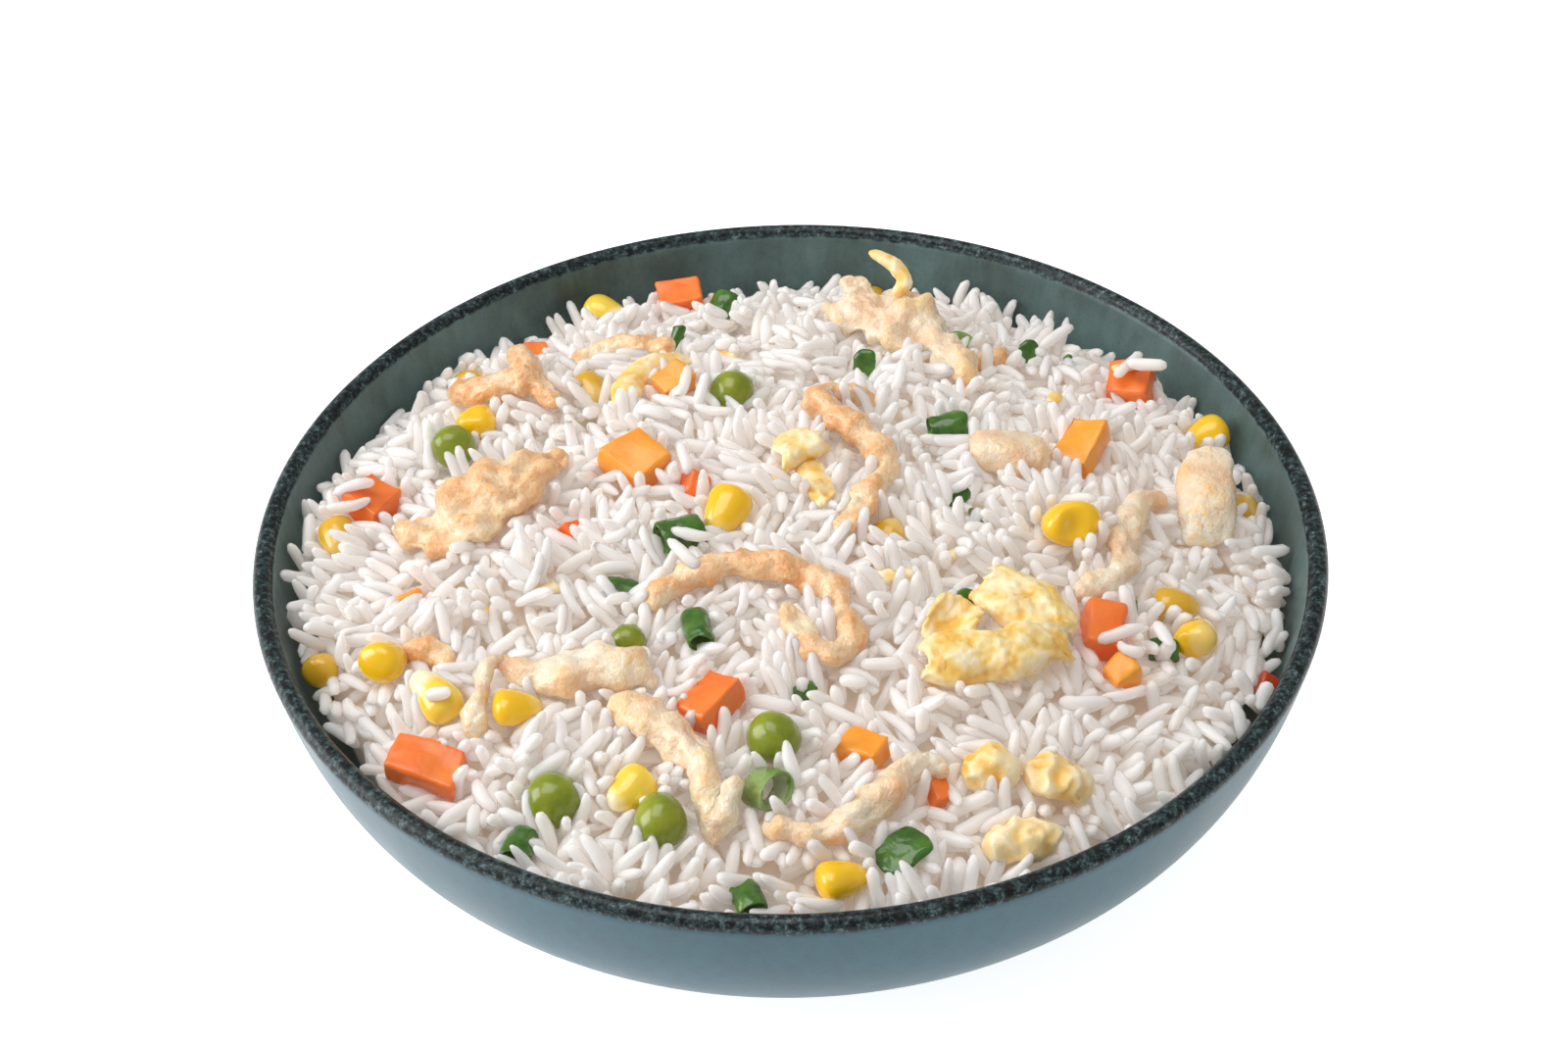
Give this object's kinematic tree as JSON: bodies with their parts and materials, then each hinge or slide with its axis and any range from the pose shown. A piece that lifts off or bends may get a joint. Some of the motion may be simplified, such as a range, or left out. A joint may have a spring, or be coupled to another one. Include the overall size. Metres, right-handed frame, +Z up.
{
  "type": "plate of chicken pilaf",
  "caption": "Deep stoneware plate heaped with chicken pilaf: loose rice with chicken strips, egg, carrot dice, sweetcorn, peas and spring onion.",
  "frame": {"origin": "centre of the plate's foot ring, in the plane it stands on", "axes": "+Z up, the plate's axis; -Y towards the diner; +X to the diner's right"},
  "size_m": [0.2, 0.2, 0.0528],
  "materials": {
    "stoneware_glaze": "glazed stoneware, grey-teal, with a black rim",
    "cooked_rice": "moist cooked long-grain rice",
    "poached_chicken": "moist cooked chicken, lightly browned",
    "scrambled_egg": "moist fried egg",
    "boiled_carrot": "moist cooked carrot",
    "sweet_corn": "glossy corn skin",
    "green_pea": "glossy pea skin",
    "spring_onion_leaf": "moist green leaf"
  },
  "bodies": {
    "root": {"deep_plate": "stoneware_glaze", "rice": "cooked_rice", "chicken_01": "poached_chicken", "chicken_02": "poached_chicken", "chicken_03": "poached_chicken", "chicken_04": "poached_chicken", "chicken_05": "poached_chicken", "chicken_06": "poached_chicken", "chicken_07": "poached_chicken", "chicken_08": "poached_chicken", "chicken_09": "poached_chicken", "chicken_10": "poached_chicken", "chicken_11": "poached_chicken", "chicken_12": "poached_chicken", "egg_1": "scrambled_egg", "egg_2": "scrambled_egg", "egg_3": "scrambled_egg", "egg_4": "scrambled_egg", "egg_5": "scrambled_egg", "egg_6": "scrambled_egg", "egg_7": "scrambled_egg", "carrot_01": "boiled_carrot", "carrot_02": "boiled_carrot", "carrot_03": "boiled_carrot", "carrot_04": "boiled_carrot", "carrot_05": "boiled_carrot", "carrot_06": "boiled_carrot", "carrot_07": "boiled_carrot", "carrot_08": "boiled_carrot", "carrot_09": "boiled_carrot", "carrot_10": "boiled_carrot", "carrot_11": "boiled_carrot", "corn_01": "sweet_corn", "corn_02": "sweet_corn", "corn_03": "sweet_corn", "corn_04": "sweet_corn", "corn_05": "sweet_corn", "corn_06": "sweet_corn", "corn_07": "sweet_corn", "corn_08": "sweet_corn", "corn_09": "sweet_corn", "corn_10": "sweet_corn", "corn_11": "sweet_corn", "corn_12": "sweet_corn", "corn_13": "sweet_corn", "corn_14": "sweet_corn", "pea_1": "green_pea", "pea_2": "green_pea", "pea_3": "green_pea", "pea_4": "green_pea", "pea_5": "green_pea", "spring_onion_1": "spring_onion_leaf", "spring_onion_2": "spring_onion_leaf", "spring_onion_3": "spring_onion_leaf", "spring_onion_4": "spring_onion_leaf", "spring_onion_5": "spring_onion_leaf", "spring_onion_6": "spring_onion_leaf", "spring_onion_7": "spring_onion_leaf"}
  },
  "joints": []
}
